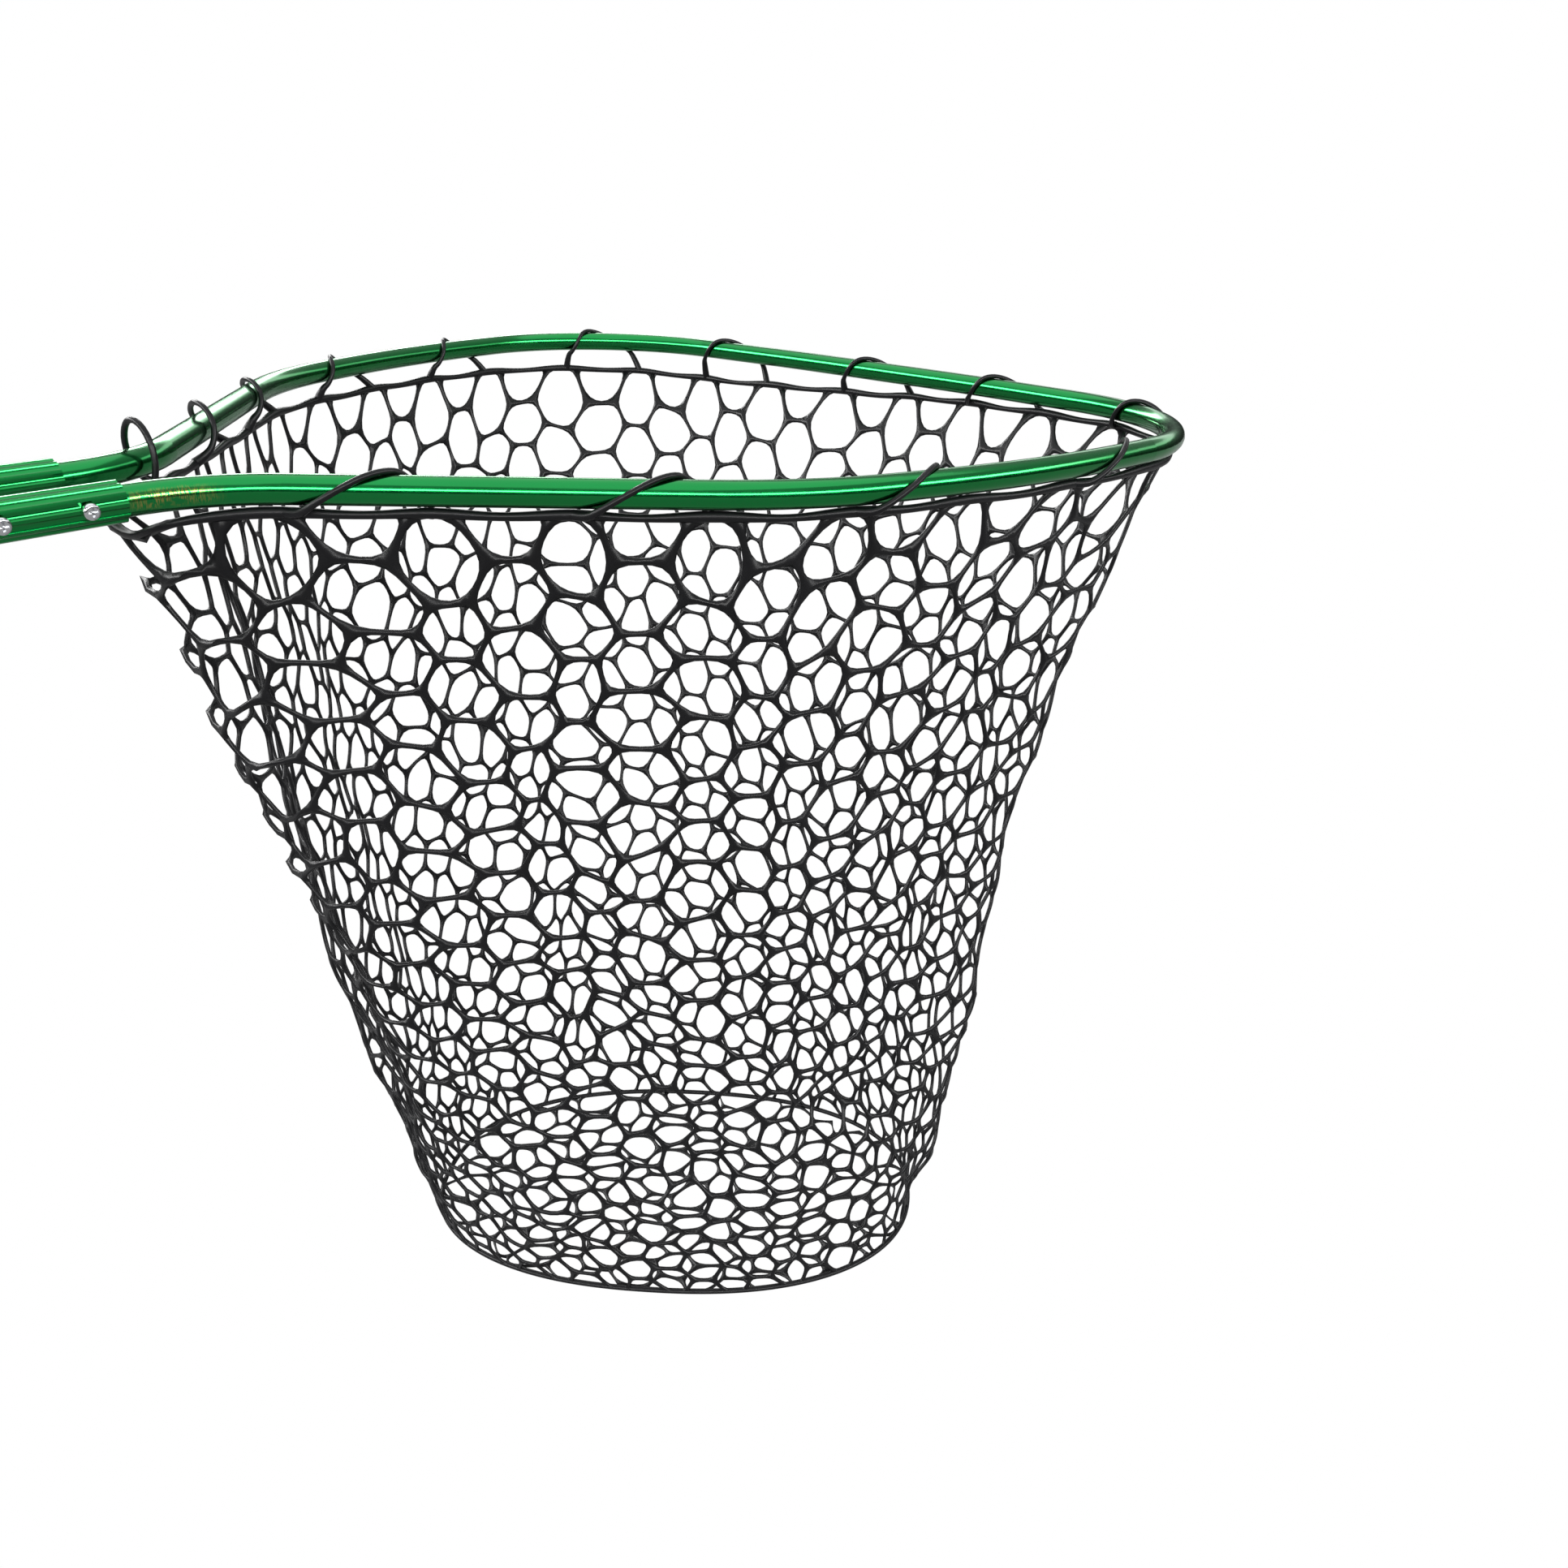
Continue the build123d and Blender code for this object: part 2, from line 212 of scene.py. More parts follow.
# Grip. Moulded rubber sleeve pushed on the handle's butt, with a smooth bead at each end
# behind a round groove, and rows of small raised studs moulded between them.
grip_half = 0.075
grip_r = 0.0175
grip_bore_r = 0.0128
groove_x = 0.063
groove_r = 0.0012
grip_round = 0.003
stud_field = 0.0585
stud_edge = 0.0005
stud_height = 0.0005
cells_per_stud = 2
field_drop = 0.0006
field_edge_x = groove_x - 0.0014
field_slope = 0.002
bore_reach_r = grip_bore_r + 0.0013
grip_deep = (0.014, 0.014, 0.015, 1)
grip_pale = (0.028, 0.028, 0.030, 1)
cells_long = 100
cells_round = 48


def edit(piece):
    """Makes a piece the only one selected and opens it in edit mode."""
    bpy.ops.object.select_all(action="DESELECT")
    piece.select_set(True)
    bpy.context.view_layer.objects.active = piece
    bpy.ops.object.mode_set(mode="EDIT")


def vertex_places(mesh):
    """The vertices of a mesh as rows of x, y, z."""
    flat = np.empty(len(mesh.vertices) * 3)
    mesh.vertices.foreach_get("co", flat)
    return flat.reshape(-1, 3)


def set_places(mesh, places):
    """Moves the vertices of a mesh to rows of x, y, z."""
    mesh.vertices.foreach_set("co", places.ravel())
    mesh.update()


def select_faces(mesh, chosen):
    """Selects just these faces, in object mode."""
    mesh.vertices.foreach_set("select", [False] * len(mesh.vertices))
    mesh.edges.foreach_set("select", [False] * len(mesh.edges))
    mesh.polygons.foreach_set("select", list(chosen))


bpy.ops.object.select_all(action="DESELECT")
bpy.ops.mesh.primitive_grid_add(x_subdivisions=cells_long, y_subdivisions=cells_round, size=2)
grip_sleeve = bpy.context.object
grip_sleeve.name = "grip_sleeve"
flat = vertex_places(grip_sleeve.data)
x = flat[:, 0] * grip_half
around = flat[:, 1] * pi
end_gap = np.clip(np.abs(x) - (grip_half - grip_round), 0, grip_round)
groove_gap = np.clip(groove_r**2 - (np.abs(x) - groove_x) ** 2, 0, None)
r = grip_r - (grip_round - np.sqrt(grip_round**2 - end_gap**2)) - np.sqrt(groove_gap)
r = r - field_drop * np.clip((field_edge_x - np.abs(x)) / field_slope, 0, 1)
set_places(grip_sleeve.data, np.stack([x, r * np.cos(around), r * np.sin(around)], -1))
edit(grip_sleeve)
bpy.ops.mesh.select_all(action="SELECT")
bpy.ops.mesh.remove_doubles(threshold=0.00001)
bpy.ops.mesh.normals_make_consistent(inside=False)
bpy.ops.object.mode_set(mode="OBJECT")
step = 2 * grip_half / cells_long
turn = 2 * pi / cells_round
studs = []
for face in grip_sleeve.data.polygons:
    column = int((face.center[0] + grip_half) / step)
    place = int((np.arctan2(face.center[2], face.center[1]) + pi) / turn)
    raised = (column // cells_per_stud + place // cells_per_stud) % 2 == 0
    studs.append(abs(face.center[0]) < stud_field and raised)
select_faces(grip_sleeve.data, studs)
edit(grip_sleeve)
bpy.ops.mesh.inset(thickness=stud_edge, use_individual=False)
bpy.ops.transform.shrink_fatten(value=stud_height)
bpy.ops.object.mode_set(mode="OBJECT")
sleeve = grip_sleeve.modifiers.new("wall", "SOLIDIFY")
sleeve.thickness = grip_r - grip_bore_r - field_drop
sleeve.offset = -1
bpy.ops.object.modifier_apply(modifier="wall")
inner = vertex_places(grip_sleeve.data)
reach = np.hypot(inner[:, 1], inner[:, 2])
bore = reach < bore_reach_r
inner[bore, 1:] *= (grip_bore_r / reach[bore])[:, None]
set_places(grip_sleeve.data, inner)
bpy.ops.object.shade_smooth_by_angle(angle=radians(40))
grip_rubber, tree, shader = new_finish("grip_rubber", grip_deep[:3], roughness=0.6)
texture = add_noise(tree, scale=1300)
cloud = add_noise(tree, scale=40, detail=3.0)
shade = add_colours(tree, cloud, grip_deep, grip_pale)
tree.links.new(shade, shader.inputs["Base Color"])
add_bump(tree, shader, texture, strength=0.4, distance=0.00015)
grip_sleeve.data.materials.append(grip_rubber)
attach(grip_sleeve, "handle")
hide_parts("grip")

# Bag wall. One piece of injection-moulded rubber mesh: round-cornered hexagonal holes in
# staggered columns, four columns to each loop. It hangs from the hoop, leans a little
# and narrows to an oval bottom panel.
hoop_length = 0.549
hoop_half_width = 0.273
barrel_y = 0.026
columns_per_loop = 4
left_loop_setback = 0.046
right_loop_setback = 0.091
rim_setback = 0.012
# How far each loop has slid along the hoop from even spacing, in spacings
loop_slips = (
    (0, -0.27, -0.46, -0.52, -0.52, -0.39, -0.40)
    + (-0.30, -0.41, -0.44, -0.17, -0.02, 0.02, 0)
)
rows = 19
columns = columns_per_loop * len(loop_slips)
strand_width = 0.0024
strand_height = 0.0024
strand_edge_share = 0.42
spare_row = 0.2
hole_segments = 4
hole_rounding = 2
gusset_rounding = 3
gusset_z = -0.031
rim_step = 0.004
rim_points_across = 12
rim_smoothing = 4
rim_drop = 0.0090
far_drop = 0.0070
far_start_y = -0.05
far_slope = 0.2
slack_drop = 0.0060
slack_column = 24
slack_columns = 7
sag_drop = 0.0012
neck_drop = 0.0085
neck_half_width = 0.023
neck_slope = 0.009
neck_end_x = yoke_front_x + 0.1
panel_centre = np.array((yoke_front_x + 0.278, -0.056, -0.529))
panel_half_length = 0.166
panel_half_width = 0.112
panel_turn = radians(-57)
panel_slip = 0.8
panel_lean = (0.085, 0.116)
panel_square = 2.3
waist_pull = 0.26
rim_tuck = 0.05
rim_tuck_share = 0.05
mouth_middle_x = yoke_front_x + 0.29
waist_drift = (-0.011, 0.014)
waist_fullness = 0.7
mesh_shift = 0.13
fold_depth = 0.006
fold_slant = 0.25
crinkle_depth = 0.0022
ripple_waves = 14
# Pleats where the loose wall gathers: column, row, width, height in rows and depth inwards
pleats = (
    (18.3, 12.5, 0.8, 7.5, -0.019),
    (2.4, 10.6, 1.1, 2.6, -0.004),
    (37.5, 12.2, 2.2, 3.2, -0.014),
    (42.5, 12.9, 3.2, 0.8, 0.013),
    (47.0, 15.4, 4.0, 0.8, -0.009),
    (7.0, 14.0, 2.0, 1.0, 0.010),
    (36.0, 16.0, 3.0, 2.0, -0.008),
)
top_row_share = 1.2
first_row_gain = 0.22
first_row_fade = 0.35


def hoop_corners():
    """The hoop's outline as sharp corners with the radius of the bend at each."""
    half = (
        (yoke_front_x, barrel_y, 0),
        (yoke_front_x + 0.033, barrel_y, 0.076),
        (yoke_front_x + 0.204, hoop_half_width - 0.071, 0.2),
        (yoke_front_x + hoop_length - 0.214, hoop_half_width - 0.023, 0.56),
        (yoke_front_x + hoop_length - 0.015, hoop_half_width, 0.112),
        (yoke_front_x + hoop_length, 0.075, 1.0),
    )
    return half + tuple((x, -y, r) for x, y, r in reversed(half))


def bent_line(corners, steps=24):
    """Points along straight runs joined by arcs."""
    points = [np.array(corners[0][:2])]
    for before, corner, after in zip(corners, corners[1:], corners[2:]):
        at = np.array(corner[:2])
        back = np.array(before[:2]) - at
        ahead = np.array(after[:2]) - at
        back /= np.linalg.norm(back)
        ahead /= np.linalg.norm(ahead)
        half_angle = np.arccos(np.clip(back @ ahead, -1, 1)) / 2
        middle = (back + ahead) / np.linalg.norm(back + ahead)
        centre = at + middle * corner[2] / sin(half_angle)
        first = at + back * corner[2] / tan(half_angle) - centre
        last = at + ahead * corner[2] / tan(half_angle) - centre
        sweep = pi - 2 * half_angle
        for k in range(steps + 1):
            share = k / steps
            a, b = sin((1 - share) * sweep), sin(share * sweep)
            points.append(centre + (first * a + last * b) / sin(sweep))
    points.append(np.array(corners[-1][:2]))
    return np.array(points)


def run_lengths(points):
    """The distance run along a line at each of its points."""
    return np.concatenate([[0], np.cumsum(np.linalg.norm(np.diff(points, axis=0), axis=1))])


hoop_line = bent_line(hoop_corners())
hoop_runs = run_lengths(hoop_line)
hoop_total = hoop_runs[-1]
loop_spacing = (hoop_total - left_loop_setback - right_loop_setback) / (len(loop_slips) - 1)
loop_runs = []
for k, slip in enumerate(loop_slips):
    loop_runs.append(left_loop_setback + loop_spacing * (k + slip))


def on_hoop(run):
    """The hoop's centre line at a distance from the yoke, going out along the left arm."""
    x = np.interp(run, hoop_runs, hoop_line[:, 0])
    y = np.interp(run, hoop_runs, hoop_line[:, 1])
    return np.array((x, y))


def mouth_outline():
    """The rim's outline seen from above: along the hoop, and across between the arms."""
    runs = np.arange(rim_setback, hoop_total - rim_setback, rim_step)
    points = [on_hoop(run) for run in runs]
    across = np.linspace(points[-1][1], points[0][1], rim_points_across + 2)[1:-1]
    points += [np.array((points[0][0], y)) for y in across]
    points = np.array(points)
    for _ in range(rim_smoothing):
        points = points / 2 + np.roll(points, 1, 0) / 4 + np.roll(points, -1, 0) / 4
    return np.vstack([points, points[:1]])


mouth = mouth_outline()
mouth_runs = run_lengths(mouth)
mouth_total = mouth_runs[-1]
column_marks = np.arange(len(loop_slips) + 1) * columns_per_loop
column_runs = np.array(loop_runs + [mouth_total + left_loop_setback]) - rim_setback


def rim_xyz(u):
    """The rim's centre line by column number."""
    u = np.asarray(u, float) % columns
    run = np.interp(u, column_marks, column_runs) % mouth_total
    x = np.interp(run, mouth_runs, mouth[:, 0])
    y = np.interp(run, mouth_runs, mouth[:, 1])
    far = np.clip((y - far_start_y) / far_slope, 0, 1)
    neck = np.clip((neck_half_width - np.abs(y)) / neck_slope, 0, 1) * (x < neck_end_x)
    slack = np.exp(-(((u - slack_column) / slack_columns) ** 2))
    sag = 0.5 - 0.5 * np.cos(2 * pi * (u - 1) / 2)
    z = -rim_drop - far_drop * far - slack_drop * slack - sag_drop * sag - neck_drop * neck
    return np.stack([x, y, z], -1)


def panel_xyz(angle, radius):
    """The bottom panel's surface: a squarish oval, square to the way the bag hangs."""
    c, s = np.cos(angle), np.sin(angle)
    reach = radius / (np.abs(c) ** panel_square + np.abs(s) ** panel_square) ** (1 / panel_square)
    along = panel_half_length * reach * c
    across = panel_half_width * reach * s
    turn_c, turn_s = cos(panel_turn), sin(panel_turn)
    x = along * turn_c - across * turn_s
    y = along * turn_s + across * turn_c
    return panel_centre + np.stack([x, y, -panel_lean[0] * x - panel_lean[1] * y], -1)


def panel_angle(u):
    """Where round the bottom panel a column of the wall ends."""
    return pi - 2 * pi * (u + panel_slip) / columns - panel_turn


def ripple(u, v, seed, low, high):
    """Smooth irregularity that repeats once round the bag, about -1 to 1."""
    draw = np.random.default_rng(seed)
    total = np.zeros(np.broadcast(u, v).shape)
    for _ in range(ripple_waves):
        waves = draw.integers(low, high + 1)
        slope = draw.uniform(-1, 1) * 2 * pi * high / columns
        total += np.sin(2 * pi * waves * u / columns + slope * v + draw.uniform(0, 2 * pi))
    return total / sqrt(ripple_waves)


def down_share(v):
    """How far down the wall a row stands; the rows grow closer towards the bottom."""
    gain = first_row_gain * (1 - np.exp(-v / first_row_fade)) * (1 - v / rows)
    share = (v + gain) / rows
    return top_row_share * share - (top_row_share - 1) * share**2


def wall_xyz(u, v):
    """The hanging wall by column and row, with its folds."""
    below = np.clip(v, 0, 1)
    above = np.clip(rows - v, 0, 1)
    u = u + mesh_shift * ripple(u, v, seed=3, low=9, high=24) * below * above
    v = v + mesh_shift * ripple(u, v, seed=4, low=9, high=24) * below * above
    t = down_share(v)
    rim = rim_xyz(u)
    panel = panel_xyz(panel_angle(u), 1.0)
    tuck = rim_tuck * (1 - np.exp(-t / rim_tuck_share)) * (1 - t)
    w = t + waist_pull * t * (1 - t) + tuck
    blend = np.stack([w, w, t], -1)
    place = rim + (panel - rim) * blend
    down = t[..., None]
    middle = np.array((mouth_middle_x, 0, 0)) * (1 - down) + panel_centre * down
    inward = middle - place
    inward[..., 2] = 0
    inward /= np.linalg.norm(inward, axis=-1, keepdims=True)
    hang = np.sin(pi * np.clip(t, 0, 1)) ** waist_fullness
    place[..., 0] += waist_drift[0] * hang
    place[..., 1] += waist_drift[1] * hang
    held = np.clip((rows - v) / 2, 0, 1)
    fold = fold_depth * ripple(u, v * fold_slant, seed=5, low=3, high=9) * hang
    crinkle = crinkle_depth * ripple(u, v, seed=6, low=9, high=20)
    fold += crinkle * np.clip(v / 2, 0, 1) * held
    for column, row, wide, tall, depth in pleats:
        aside = (u - column + columns / 2) % columns - columns / 2
        fold += depth * np.exp(-((aside / wide) ** 2) - ((v - row) / tall) ** 2)
    return place + inward * (fold * held)[..., None]


def honeycomb(name, wide, tall):
    """A flat sheet of hexagons: full cells in the odd columns, half a cell up in the even."""
    bpy.ops.object.select_all(action="DESELECT")
    bpy.ops.mesh.primitive_circle_add(vertices=6, radius=1, fill_type="NGON")
    sheet = bpy.context.object
    sheet.name = name
    bpy.ops.object.mode_set(mode="EDIT")
    bpy.ops.mesh.select_all(action="SELECT")
    bpy.ops.transform.rotate(value=radians(30), orient_axis="Z", center_override=(0, 0, 0))
    bpy.ops.transform.resize(value=(2 / 3, 0.5 / cos(radians(30)), 1), center_override=(0, 0, 0))
    bpy.ops.mesh.duplicate_move(TRANSFORM_OT_translate={"value": (1, 0.5, 0)})
    bpy.ops.object.mode_set(mode="OBJECT")
    for count, step in ((wide // 2, (2, 0, 0)), (tall, (0, 1, 0))):
        array = sheet.modifiers.new("repeat", "ARRAY")
        array.count = count
        array.use_relative_offset = False
        array.use_constant_offset = True
        array.constant_offset_displace = step
        array.use_merge_vertices = True
        array.merge_threshold = 0.01
        bpy.ops.object.modifier_apply(modifier="repeat")
    return sheet


def cut_faces(piece, far_enough):
    """Deletes the faces whose centres pass a test."""
    mesh = piece.data
    centres = np.array([face.center for face in mesh.polygons])
    select_faces(mesh, far_enough(centres))
    edit(piece)
    bpy.ops.mesh.delete(type="FACE")
    bpy.ops.object.mode_set(mode="OBJECT")


def split_edges(piece):
    """Gives each side of a cell enough points for a round hole."""
    edit(piece)
    bpy.ops.mesh.select_all(action="SELECT")
    bpy.ops.mesh.subdivide(number_cuts=hole_segments - 1)
    bpy.ops.object.mode_set(mode="OBJECT")


def cut_holes(piece, width, rounding, smallest):
    """Turns each cell into a round-cornered hole and the lines between them into strands.

    Cells smaller than smallest stay solid, as small pads.
    """
    mesh = piece.data
    edit(piece)
    bpy.ops.mesh.select_all(action="SELECT")
    bpy.ops.mesh.remove_doubles(threshold=0.00002)
    bpy.ops.mesh.select_all(action="SELECT")
    bpy.ops.mesh.inset(thickness=width / 2, use_individual=True, use_even_offset=False)
    bpy.ops.object.mode_set(mode="OBJECT")
    places = vertex_places(mesh)
    for face in mesh.polygons:
        face.select = face.select and face.area > smallest
    hole_edge = np.zeros(len(mesh.vertices), bool)
    for face in mesh.polygons:
        if face.select:
            ring = np.array(face.vertices)
            hole_edge[ring] = True
            hole = places[ring]
            passes = rounding + gusset_rounding * (face.center[2] > gusset_z)
            for _ in range(passes):
                hole = hole / 2 + np.roll(hole, 1, 0) / 4 + np.roll(hole, -1, 0) / 4
            places[ring] = hole
    set_places(mesh, places)
    open_faces = [face.select for face in mesh.polygons]
    select_faces(mesh, open_faces)
    edit(piece)
    bpy.ops.mesh.delete(type="ONLY_FACE")
    bpy.ops.object.mode_set(mode="OBJECT")
    middle = piece.vertex_groups.new(name="strand_middle")
    middle.add([int(i) for i in np.nonzero(~hole_edge)[0]], 1.0, "REPLACE")
    middle.add([int(i) for i in np.nonzero(hole_edge)[0]], 0.0, "REPLACE")


def thicken(piece, height):
    """Gives the strands their round section and applies it."""
    solid = piece.modifiers.new("thick", "SOLIDIFY")
    solid.thickness = height
    solid.offset = 0
    solid.vertex_group = "strand_middle"
    solid.thickness_vertex_group = strand_edge_share
    bpy.context.view_layer.objects.active = piece
    bpy.ops.object.modifier_apply(modifier="thick")
    piece.data.polygons.foreach_set("use_smooth", [True] * len(piece.data.polygons))


rubber_deep = (0.002, 0.002, 0.0023, 1)
rubber_pale = (0.005, 0.005, 0.006, 1)
rubber, tree, shader = new_finish("net_rubber", rubber_deep[:3], roughness=0.36)
cloud = add_noise(tree, scale=22, detail=3.0)
grain = add_noise(tree, scale=900)
shader.inputs["Specular IOR Level"].default_value = 0.24
shade = add_colours(tree, cloud, rubber_deep, rubber_pale)
tree.links.new(shade, shader.inputs["Base Color"])
add_polish(tree, shader, cloud, smoothest=0.28, roughest=0.44)
add_bump(tree, shader, grain, strength=0.25, distance=0.0002)

bag_wall = honeycomb("bag_wall", columns, rows + 1)
cut_faces(bag_wall, lambda at: at[:, 1] > rows + spare_row)
split_edges(bag_wall)
flat = vertex_places(bag_wall.data)
set_places(bag_wall.data, wall_xyz(flat[:, 0], np.clip(flat[:, 1], 0, rows)))
cut_holes(bag_wall, strand_width, hole_rounding, smallest=0)
thicken(bag_wall, strand_height)
bag_wall.data.materials.append(rubber)
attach(bag_wall, "hoop_frame")
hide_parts("net_bag")

# Bottom panel. The same rubber mesh with smaller, less even holes, moulded with the wall
# and bounded by a thick strand; it sags a little in the middle.
panel_pitch = 0.0225
panel_stretch = 1.15
panel_sag = 0.012
panel_lumps = 0.002
panel_strand_share = 0.9
panel_hole_rounding = 3
panel_shift = 0.0016
panel_shift_pitches = 2.2
smallest_hole = 0.00009
smallest_cell = 0.00002
panel_edge_radius = 0.99
panel_waves = 6
floor_columns = 2 * int(1.3 * panel_half_length / panel_pitch)
floor_rows = int(2.5 * panel_half_width / panel_pitch)
bag_floor = honeycomb("bag_floor", floor_columns + 2, floor_rows + 1)
flat = vertex_places(bag_floor.data)
flat[:, :2] -= (flat[:, :2].max(0) + flat[:, :2].min(0)) / 2
flat[:, 0] *= panel_pitch
flat[:, 1] *= panel_pitch * panel_stretch
set_places(bag_floor.data, flat)


def oval_radius(at):
    """How far out on the panel a place is: 0 in the middle and 1 at the edge."""
    along = np.abs(at[:, 0]) / panel_half_length
    across = np.abs(at[:, 1]) / panel_half_width
    return (along**panel_square + across**panel_square) ** (1 / panel_square)


cut_faces(bag_floor, lambda at: oval_radius(at) > panel_edge_radius)
split_edges(bag_floor)
flat = vertex_places(bag_floor.data)
jitter = np.random.default_rng(11)
waves = jitter.uniform(-1, 1, (2 * panel_waves, 2)) * 2 * pi / (panel_shift_pitches * panel_pitch)
starts = jitter.uniform(0, 2 * pi, 2 * panel_waves)
for axis in (0, 1):
    shift = np.sin(flat[:, :2] @ waves[axis::2].T + starts[axis::2]).sum(1)
    flat[:, axis] += panel_shift * shift
radius = oval_radius(flat)
flat[:, :2] *= np.minimum(1, 1 / np.maximum(radius, 0.001))[:, None]
radius = np.minimum(radius, 1)
turn_c, turn_s = cos(panel_turn), sin(panel_turn)
x = flat[:, 0] * turn_c - flat[:, 1] * turn_s
y = flat[:, 0] * turn_s + flat[:, 1] * turn_c
lumps = panel_lumps * np.sin(90 * x + 1) * np.sin(75 * y) * (1 - radius)
dip = panel_sag * (1 - radius**2) + lumps
z = -panel_lean[0] * x - panel_lean[1] * y - dip
set_places(bag_floor.data, panel_centre + np.stack([x, y, z], -1))
slivers = [face.area < smallest_cell for face in bag_floor.data.polygons]
cut_faces(bag_floor, lambda at: slivers)
cut_holes(bag_floor, strand_width * panel_strand_share, panel_hole_rounding, smallest_hole)
thicken(bag_floor, strand_height * panel_strand_share)
bag_floor.data.materials.append(rubber)
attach(bag_floor, "hoop_frame")
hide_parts("net_bag")

# Rim and panel edge. Thicker round strands, moulded in one with the mesh at the mouth,
# where the loops start, and round the bottom panel, where wall and panel meet.
rim_strand_r = 0.0021
rim_swell = 0.18
rim_waver = 0.06
edge_strand_r = 0.0017
points_per_column = 3


def moulded_strand(name, points, radii, closed):
    """A round rubber strand through points, closed on itself or with capped ends."""
    curve = bpy.data.curves.new(name, "CURVE")
    curve.dimensions = "3D"
    curve.bevel_depth = 1.0
    curve.bevel_resolution = 3
    curve.resolution_u = 3
    curve.use_fill_caps = not closed
    spline = curve.splines.new("NURBS")
    spline.points.add(len(points) - 1)
    for point, at, r in zip(spline.points, points, radii):
        point.co = (*at, 1)
        point.radius = r
    spline.order_u = 3
    spline.use_endpoint_u = not closed
    spline.use_cyclic_u = closed
    strand = bpy.data.objects.new(name, curve)
    bpy.context.scene.collection.objects.link(strand)
    bpy.ops.object.select_all(action="DESELECT")
    strand.select_set(True)
    bpy.context.view_layer.objects.active = strand
    bpy.ops.object.convert(target="MESH")
    strand = bpy.context.object
    strand.data.polygons.foreach_set("use_smooth", [True] * len(strand.data.polygons))
    strand.data.materials.clear()
    strand.data.materials.append(rubber)
    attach(strand, "hoop_frame")
    return strand


u = np.arange(0, columns, 1 / points_per_column)
swell = rim_swell * np.cos(2 * pi * (u - 1) / 2) + rim_waver * np.sin(2.3 * u)
thick = rim_strand_r * (1 + swell)
bag_rim = moulded_strand("bag_rim", rim_xyz(u), thick, True)
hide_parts("net_bag")
edge_points = panel_xyz(panel_angle(u), 1.0)
panel_edge = moulded_strand("panel_edge", edge_points, [edge_strand_r] * len(u), True)
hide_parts("net_bag")

# Loops. Each is moulded on the rim, passes up outside the tube, slantwise over it and
# down inside, and joins the rim again two columns on. The first, by the yoke, has slack.
loop_r = 0.0014
loop_gap = 0.0004
loop_reach = tube_r + loop_gap + loop_r
under_reach = 0.25
under_start = 100
under_span = 60
loop_slacks = (0.010, 0.004, 0.001)
side_slack = 0.25
under_slack = 0.4
first_squeeze = 0.45
# Distance along the hoop, turn round the tube from the top (none at the rim) and thickness
loop_shape = (
    (0.0290, None, 1.7),
    (0.0250, 158, 1.5),
    (0.0200, 130, 1.15),
    (0.0130, 100, 1.0),
    (0.0050, 68, 1.0),
    (-0.0020, 38, 1.0),
    (-0.0090, 8, 1.0),
    (-0.0145, -28, 1.0),
    (-0.0180, -66, 1.0),
    (-0.0210, -102, 1.0),
    (-0.0240, -135, 1.1),
    (-0.0270, -160, 1.5),
    (-0.0290, None, 1.9),
)


def hoop_frame_at(run):
    """Centre, direction along the hoop and direction out of the mouth."""
    at = on_hoop(run)
    along = on_hoop(run + 0.001) - on_hoop(run - 0.001)
    along /= np.linalg.norm(along)
    return at, along, np.array((-along[1], along[0]))


def rim_at_run(run):
    """The rim below a place on the hoop."""
    u = np.interp(run - rim_setback, column_runs, column_marks)
    return rim_xyz(u)


for k, run in enumerate(loop_runs):
    slack = loop_slacks[k] if k < len(loop_slacks) else 0.0
    squeeze = first_squeeze if k == 0 else 1.0
    points = []
    radii = []
    for slide, angle, swell in loop_shape:
        there = run + slide * squeeze
        radii.append(loop_r * swell)
        if angle is None:
            points.append(rim_at_run(there))
            continue
        at, along, out = hoop_frame_at(there)
        a = radians(angle)
        reach = loop_reach * (1 + under_reach * max(0, abs(angle) - under_start) / under_span)
        side = reach * sin(a) + slack * side_slack * sin(a)
        up = reach * cos(a) + slack * max(0, cos(a)) - under_slack * slack * max(0, -cos(a))
        points.append(np.array((*(at + out * side), up)))
    loop = moulded_strand(f"net_loop_{k + 1:02d}", points, radii, False)
    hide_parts("net_loops")

# Studio. A paper floor in a dim room, white only where it is looked at directly, with a
# band of strip lights round the walls and two soft boxes, one overhead and one behind.
floor_z = -1.0
floor_size = 24
paper_grey = (0.22, 0.22, 0.22)
room_low = (0.03, 0.03, 0.03, 1)
room_middle = (0.16, 0.16, 0.165, 1)
room_high = (0.6, 0.6, 0.62, 1)
strip_light = 19.0
strip_bottom = (0.262, 0.282)
strip_top = (0.418, 0.398)
strip_front = (0.75, 0.45)
strip_front_share = 0.1
bpy.ops.object.select_all(action="DESELECT")
bpy.ops.mesh.primitive_plane_add(size=floor_size, location=(0, 0, floor_z))
floor = bpy.context.object
floor.name = "floor"
paper, tree, shader = new_finish("paper", paper_grey, roughness=0.9)
glow = tree.nodes.new("ShaderNodeEmission")
seen = tree.nodes.new("ShaderNodeLightPath")
blend = tree.nodes.new("ShaderNodeMixShader")
tree.links.new(seen.outputs["Is Camera Ray"], blend.inputs["Fac"])
tree.links.new(shader.outputs["BSDF"], blend.inputs[1])
tree.links.new(glow.outputs["Emission"], blend.inputs[2])
tree.links.new(blend.outputs["Shader"], tree.nodes["Material Output"].inputs["Surface"])
floor.data.materials.append(paper)
bpy.context.scene.view_settings.view_transform = "Standard"

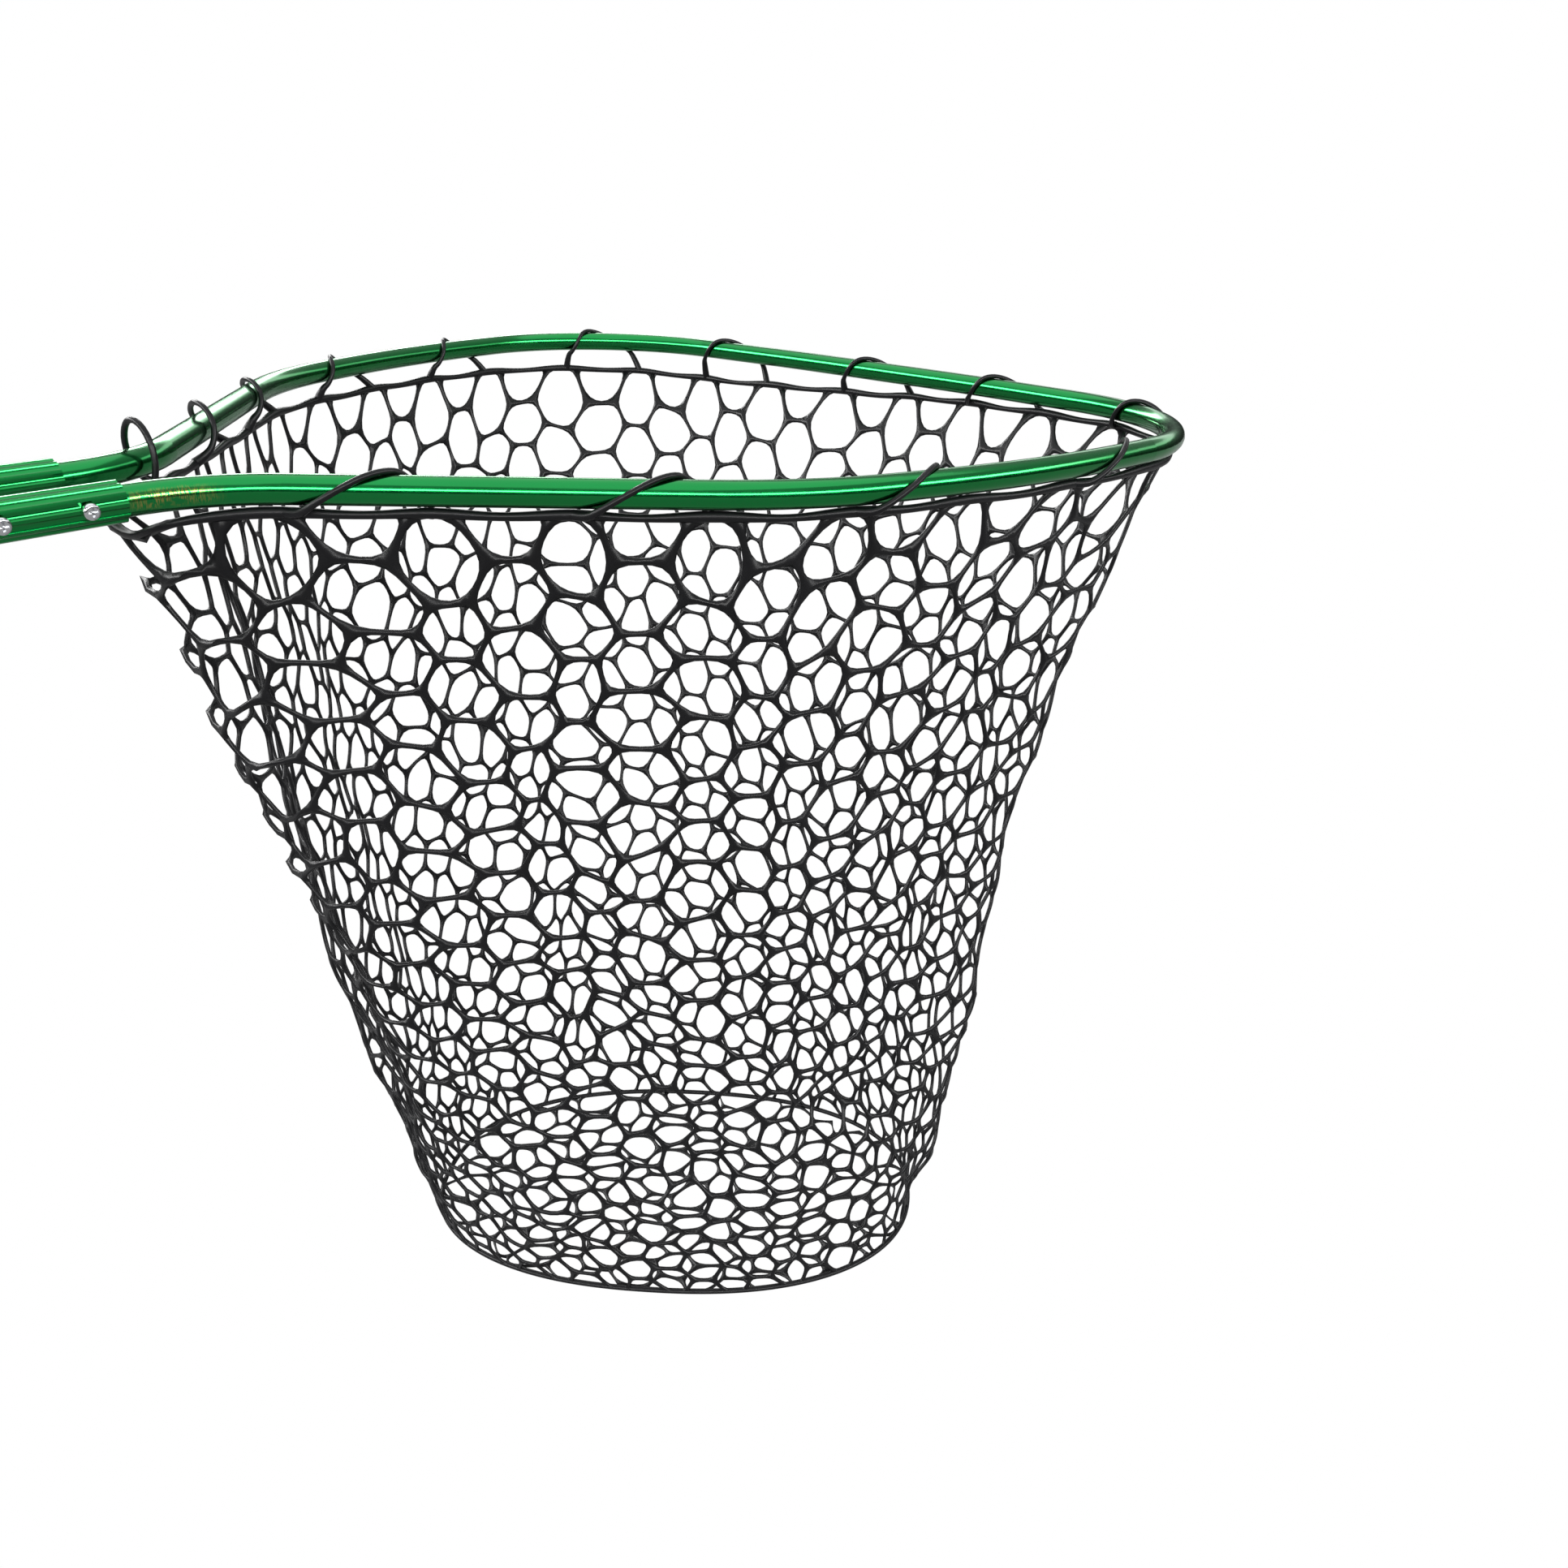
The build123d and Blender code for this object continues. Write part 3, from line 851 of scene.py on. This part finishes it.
world = bpy.data.worlds.new("room")
bpy.context.scene.world = world
world.use_nodes = True
tree = world.node_tree
background = tree.nodes["Background"]
background.inputs["Strength"].default_value = 1.0
place = tree.nodes.new("ShaderNodeTexCoord")
split = tree.nodes.new("ShaderNodeSeparateXYZ")
ramp = tree.nodes.new("ShaderNodeValToRGB")
tree.links.new(place.outputs["Generated"], split.inputs["Vector"])
tree.links.new(add_range(tree, split.outputs["Z"], -1, 1), ramp.inputs["Fac"])
ramp.color_ramp.elements[0].position = 0.52
ramp.color_ramp.elements[0].color = room_low
ramp.color_ramp.elements[1].position = 0.92
ramp.color_ramp.elements[1].color = room_high
low_wall = ramp.color_ramp.elements.new(0.66)
low_wall.color = room_middle
seen = tree.nodes.new("ShaderNodeLightPath")
room = add_colours(tree, seen.outputs["Is Camera Ray"], room_middle, (1, 1, 1, 1))
tree.links.new(ramp.outputs["Color"], room.node.inputs["A"])
tree.links.new(room, background.inputs["Color"])
lower = add_range(tree, split.outputs["Z"], *strip_bottom)
upper = add_range(tree, split.outputs["Z"], *strip_top)
side = add_range(tree, split.outputs["X"], *strip_front, strip_front_share, 1)
band = add_product(tree, add_product(tree, lower, upper), side)
strip = tree.nodes.new("ShaderNodeBackground")
tree.links.new(add_range(tree, band, 0, 1, 0, strip_light), strip.inputs["Strength"])
both = tree.nodes.new("ShaderNodeAddShader")
tree.links.new(background.outputs["Background"], both.inputs[0])
tree.links.new(strip.outputs["Background"], both.inputs[1])
tree.links.new(both.outputs["Shader"], tree.nodes["World Output"].inputs["Surface"])


def soft_box(name, place, aim, size, power):
    """A rectangular light that shines from a place towards an aim."""
    lamp = bpy.data.lights.new(name, "AREA")
    lamp.shape = "RECTANGLE"
    lamp.size = size[0]
    lamp.size_y = size[1]
    lamp.energy = power
    light = bpy.data.objects.new(name, lamp)
    bpy.context.scene.collection.objects.link(light)
    light.location = place
    way = np.array(aim) - np.array(place)
    light.rotation_euler = (
        np.arctan2(np.hypot(way[0], way[1]), -way[2]),
        0,
        np.arctan2(way[1], way[0]) - pi / 2,
    )
    light.visible_camera = False


soft_box("top_box", place=(0.8, 0.1, 2.8), aim=(0.8, 0.1, 0), size=(4.5, 4.5), power=52)
soft_box("rear_box", place=(-1.4, 2.6, 1.7), aim=(0.85, 0, -0.2), size=(1.8, 0.6), power=25)

# Camera. Held to the side of the handle, just behind the yoke and a hand's width above it,
# and aimed down across the bag.
sensor = 36.0
lens_of_width = 0.7795
camera_place = (0.3642, -0.5090, 0.1187)
camera_turn = (radians(63.774), radians(-2.197), radians(-51.807))
camera_data = bpy.data.cameras.new("camera")
camera_data.sensor_width = sensor
camera_data.lens = sensor * lens_of_width
camera_data.clip_start = 0.02
camera_data.clip_end = 60
camera = bpy.data.objects.new("camera", camera_data)
bpy.context.scene.collection.objects.link(camera)
camera.location = camera_place
camera.rotation_euler = camera_turn
bpy.context.scene.camera = camera
